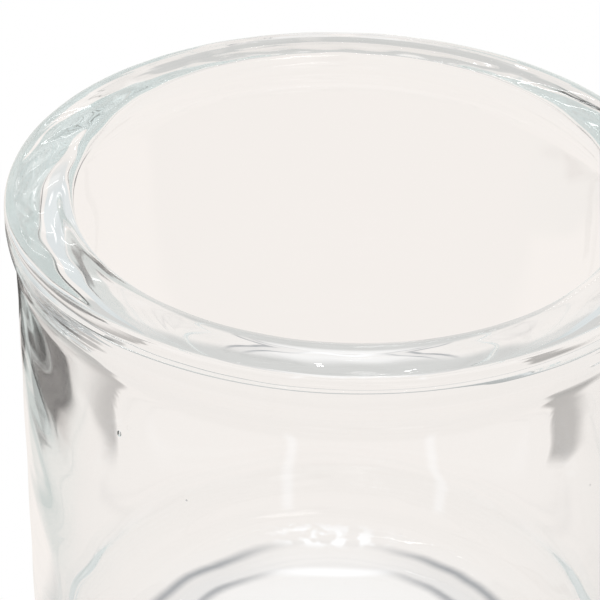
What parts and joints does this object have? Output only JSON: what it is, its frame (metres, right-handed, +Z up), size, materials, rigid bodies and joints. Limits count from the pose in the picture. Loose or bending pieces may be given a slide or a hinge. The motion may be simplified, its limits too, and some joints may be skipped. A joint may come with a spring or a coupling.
{
  "type": "glass cylinder vase",
  "caption": "Low clear glass cylinder vase with a thick fire-polished rim, a plain straight wall and a heavy base.",
  "frame": {"origin": "centre of the resting plane, on the axis of the cylinder", "axes": "+Z up along the axis of the cylinder, towards the mouth; +X and +Y are any two square directions, because the vase is round"},
  "size_m": [0.1, 0.1, 0.1],
  "materials": {
    "clear_glass": "fire-polished clear glass"
  },
  "bodies": {
    "root": {"heavy_base": "clear_glass", "side_wall": "clear_glass", "rim_bead": "clear_glass"}
  },
  "joints": []
}
